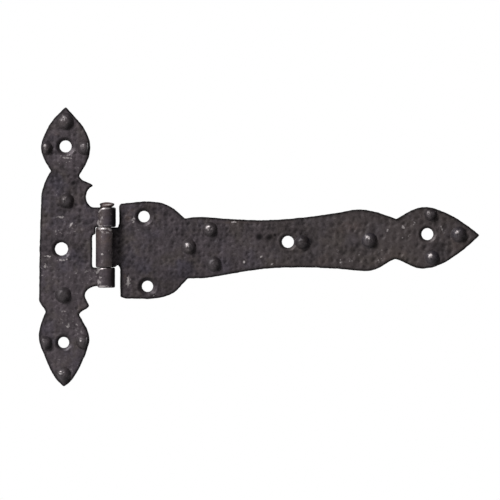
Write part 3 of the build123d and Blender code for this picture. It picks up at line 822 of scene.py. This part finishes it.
studLooks = {  # how large and how worn each stud is, against the others; the wear also sets how bright the painted highlight on its crown is
    "jamb_tip_top": (1.15, 1.6), "jamb_upper_left": (1.0, 1.5), "jamb_upper_right": (1.1, 0.9),
    "jamb_upper_waist": (1.05, 0.2), "jamb_lower_waist": (1.05, 0.5), "jamb_lower_left": (1.05, 1.3),
    "jamb_lower_right": (1.05, 1.6), "jamb_tip_bottom": (1.1, 2.0), "strap_root_middle": (1.0, 1.4),
    "strap_root_upper": (1.05, 0.8), "strap_root_lower": (1.05, 0.7), "strap_middle": (1.15, 0.3),
    "strap_fore": (1.05, 2.0), "strap_head_upper": (0.95, 2.2), "strap_head_lower": (1.0, 1.3),
    "strap_tip": (1.0, 2.0),
}
for number, (shortName, (size, wornAndSheen)) in enumerate(studLooks.items()):
    name = "rivet_" + shortName
    lowCorner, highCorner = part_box(name)
    centre = ((lowCorner.x + highCorner.x) / 2, 0, (lowCorner.z + highCorner.z) / 2)
    headRadius = size * (highCorner.x - lowCorner.x) / 2
    random = np.random.RandomState(300 + number)
    phases, sizes = random.uniform(0, 2 * math.pi, 5), random.uniform(0.3, 1.0, 5)
    onJamb = shortName.startswith("jamb")
    reach = reachInside(centre, jambEdge if onJamb else strapEdge, rivetShape["bellWidth"] * headRadius)

    def dented(radius, height, angle):
        # kept within the leaf's edge, struck a little out of round, with shallow marks over the dome
        wobble = sum(size * np.cos((k + 2) * angle + phases[k]) for k, size in enumerate(sizes))
        onDome = smoothStep(height, sheet["thickness"] - 0.5 * mm, sheet["thickness"] + 0.3 * mm)
        radius = radius * np.where(height > sheet["thickness"] - 0.6 * mm, reach, 1)
        radius = radius * (1 + rivetShape["outOfRound"] * wobble * onDome)
        place = np.column_stack(((radius * np.cos(angle)).ravel(), (radius * np.sin(angle)).ravel()))
        marks = valueNoise(place, 1.1 * mm, 400 + number) + 0.6 * valueNoise(place, 0.55 * mm, 450 + number)
        return radius, height + onDome * rivetShape["pit"] * marks.reshape(height.shape)

    def studMarks(points):
        # a painted highlight with some wear on the crown's upper left, where the key light catches it, painted
        # shade at the foot, a painted shadow on the lower right, and duller if little worn
        up = (points[:, 2] - sheet["thickness"]) / rivetShape["height"]
        away = np.hypot(points[:, 0] + 0.35 * headRadius, points[:, 1] - 0.5 * headRadius) / headRadius
        below = np.hypot(points[:, 0] - 0.75 * headRadius, points[:, 1] + 0.8 * headRadius) / headRadius
        highlightAndWear = 1.4 * wornAndSheen * np.exp(-((away / 0.5) ** 2)) * (up > 0.1)
        grime = np.maximum(0.15 * (1 - smoothStep(up, 0.0, 0.45)), 0.65 * np.exp(-((below / 0.75) ** 2)))
        grime = np.maximum(grime, 0.4 * (1 - wornAndSheen))
        return {"wear": 0.4 * smoothStep(up, 0.55, 1.0) + highlightAndWear, "grime": grime}

    stud = turnedPiece("stud_" + shortName, studProfile(headRadius), centre, "Y", rivetIron,
                       dented, rivetShape["around"], studMarks)
    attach(stud, "jamb" if onJamb else "strap")
    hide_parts(name)
print("rivets made")

# Pin
pinShape = {
    "bottom": -19.0 * mm, "shaft": 2.7 * mm, "neck": 2.95 * mm, "neckAt": 20.82 * mm, "rim": 3.65 * mm,
    "top": 22.55 * mm, "dish": 0.6 * mm, "shift": 0.7 * mm, "around": 72,
    "tip": 13,  # degrees that the head leans forwards
}
tipSlope = math.tan(math.radians(pinShape["tip"]))


def pinHead(radius, height, angle):
    # above the neck the rings are a little out of round, and lean towards the front
    neckAt = pinShape["neckAt"]
    lift = smoothStep(height, neckAt - 0.1 * mm, neckAt + 0.5 * mm)
    radius = radius * (1 + 0.03 * np.cos(2 * angle + 0.7) * lift + 0.02 * np.cos(3 * angle + 2.0) * lift)
    lean = tipSlope * radius * np.sin(angle)
    return radius, height + lift * lean + 0.05 * mm * lift * np.cos(3 * angle + 1)


def pinProfile():
    # plain end, shaft, neck, and a head with a rounded rim and a shallow dish
    s = pinShape
    bottom, shaft, neck, neckAt = s["bottom"], s["shaft"], s["neck"], s["neckAt"]
    rim, top, dish = s["rim"], s["top"], s["dish"]
    end = [(0, bottom), (0.7 * shaft, bottom + 0.03 * mm), (0.93 * shaft, bottom + 0.15 * mm)]
    end += [(shaft, bottom + 0.45 * mm)] + [(shaft, z * mm) for z in range(-17, 20, 4)]
    return end + [
        (shaft, neckAt - 0.15 * mm), (neck, neckAt), (neck + 0.05 * mm, neckAt + 0.25 * mm),
        (neck + 0.30 * mm, neckAt + 0.7 * mm), (rim - 0.15 * mm, top - 0.5 * mm), (rim, top - 0.22 * mm),
        (rim - 0.08 * mm, top - 0.06 * mm), (rim - 0.3 * mm, top), (rim - 0.6 * mm, top - 0.06 * mm),
        (0.65 * rim, top - 0.6 * dish), (0.4 * rim, top - 0.9 * dish), (0.15 * rim, top - dish),
        (0, top - dish),
    ]


def pinMarks(points):
    # a painted highlight, partly wear: a bright streak slantwise over the head's top, with painted shade at its
    # sides and under it, and darker on the shaft
    x, y, z = points.T
    onHead = smoothStep(z - tipSlope * y, pinShape["top"] - 0.9 * mm, pinShape["top"] - 0.5 * mm)
    highlightStreak = np.exp(-((y - 0.55 * x - 0.2 * mm) / (1.1 * mm)) ** 2) * np.exp(-(x / (2.2 * mm)) ** 4)
    sides = smoothStep(np.abs(x), 1.8 * mm, 3.3 * mm)
    return {"wear": (0.2 + 4.0 * highlightStreak) * onHead, "grime": np.maximum(0.6 * (1 - onHead), 0.75 * sides)}


pin = turnedPiece("headedPin", pinProfile(), (pinX, pinY, 0), "Z", pinSteel, pinHead,
                  pinShape["around"], pinMarks)
points = np.empty(3 * len(pin.data.vertices))
pin.data.vertices.foreach_get("co", points)
points = points.reshape(-1, 3)
onHead = smoothStep(points[:, 2], pinShape["neckAt"] - 0.05 * mm, pinShape["neckAt"] + 0.6 * mm)
points[:, 0] += pinShape["shift"] * onHead  # the head is hammered over to one side
pin.data.vertices.foreach_set("co", points.ravel())
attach(pin, "jamb")
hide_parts("hinge_pin")
print("pin made")

# Light, floor and camera
studio = {
    "middle": Vector((0.0942, 0, -0.00053)), "distance": 2.5, "width": 0.25,
    "keyWay": Vector((-0.56, -0.60, 0.57)), "keyPower": 31.0, "keySize": 0.42, "lampDistance": 1.4,
    "fillWay": Vector((0.75, -0.65, 0.1)), "fillPower": 0.25, "fillSize": 0.8,
    "backWay": Vector((0.6, 0.75, 0.28)), "backPower": 13.0, "backSize": 0.7,
    "ambient": 0.085, "floorHeight": -0.17,
}


def areaLight(name, way, power, size):
    lamp = bpy.data.lights.new(name, "AREA")
    lamp.shape, lamp.size, lamp.energy = "DISK", size, power
    holder = bpy.data.objects.new(name, lamp)
    holder.location = studio["middle"] + way.normalized() * studio["lampDistance"]
    holder.rotation_euler = (-way).to_track_quat("-Z", "Y").to_euler()
    scene.collection.objects.link(holder)


areaLight("keyLight", studio["keyWay"], studio["keyPower"], studio["keySize"])
areaLight("fillLight", studio["fillWay"], studio["fillPower"], studio["fillSize"])
areaLight("backLight", studio["backWay"], studio["backPower"], studio["backSize"])

world = bpy.data.worlds.new("studioAir")
scene.world = world
world.use_nodes = True
air = world.node_tree
seen = air.nodes.new("ShaderNodeLightPath")
shade = air.nodes["Background"]
shade.inputs["Color"].default_value = (1, 1, 1, 1)
seenDirectly = maths(air, "MULTIPLY", seen.outputs["Is Camera Ray"], 1.0 - studio["ambient"])
air.links.new(maths(air, "ADD", seenDirectly, studio["ambient"]), shade.inputs["Strength"])

floorMaterial = bpy.data.materials.new("paleFloor")
floorMaterial.use_nodes = True
floorTree = floorMaterial.node_tree
floorShader = floorTree.nodes["Principled BSDF"]
floorShader.inputs["Roughness"].default_value = 0.8
speckle = ranged(floorTree, noiseOf(floorTree, 40, 3), 0.3, 0.7, 0.0, 1.0)
floorColour = mixed(floorTree, speckle, (0.80, 0.80, 0.79, 1), (0.84, 0.84, 0.83, 1))
floorTree.links.new(floorColour, floorShader.inputs["Base Color"])
floorMesh = bpy.data.meshes.new("paleFloor")
sides = ((-0.9, -0.7), (1.1, -0.7), (1.1, 0.3), (-0.9, 0.3))
floorMesh.from_pydata([(x, y, studio["floorHeight"]) for x, y in sides], [], [(0, 1, 2, 3)])
floorMesh.materials.append(floorMaterial)
floor = bpy.data.objects.new("paleFloor", floorMesh)
scene.collection.objects.link(floor)

camera = bpy.data.cameras.new("frontCamera")
camera.sensor_width = 36
camera.lens = 36 * studio["distance"] / studio["width"]
camera.dof.use_dof = False
cameraHolder = bpy.data.objects.new("frontCamera", camera)
cameraHolder.location = studio["middle"] - Vector((0, studio["distance"], 0))
cameraHolder.rotation_euler = (math.radians(90), 0, 0)
scene.collection.objects.link(cameraHolder)
scene.camera = cameraHolder
scene.view_settings.view_transform = "Standard"
print("studio made")
